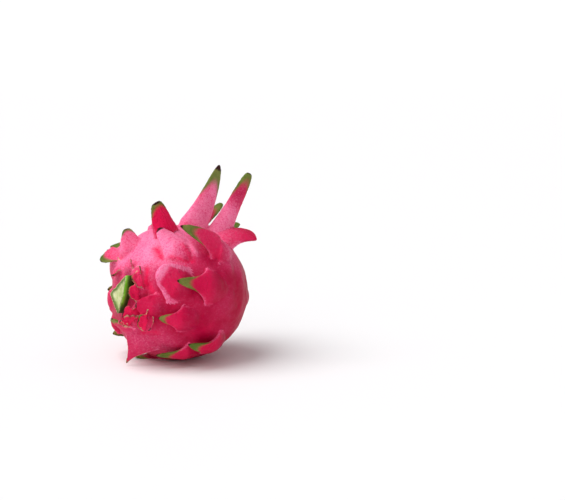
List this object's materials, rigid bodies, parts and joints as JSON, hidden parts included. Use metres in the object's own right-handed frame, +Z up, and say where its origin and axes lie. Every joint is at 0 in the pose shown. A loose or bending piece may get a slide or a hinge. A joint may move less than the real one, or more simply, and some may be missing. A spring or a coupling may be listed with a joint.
{
  "type": "dragon fruit",
  "caption": "Whole pink dragon fruit lying on its side, with leafy green-tipped scales, long crown scales and a cut wedge of cactus stem.",
  "frame": {"origin": "middle of the small flat spot under the fruit's belly that it rests on", "axes": "+X along the fruit's axis from the cut stem to the crown, +Y to the back of the fruit as it lies, +Z up"},
  "size_m": [0.1257, 0.1092, 0.1334],
  "materials": {
    "rind": "satin",
    "stem": "matte"
  },
  "bodies": {
    "root": {"fruit": "rind", "stem_stub": "stem"}
  },
  "joints": []
}
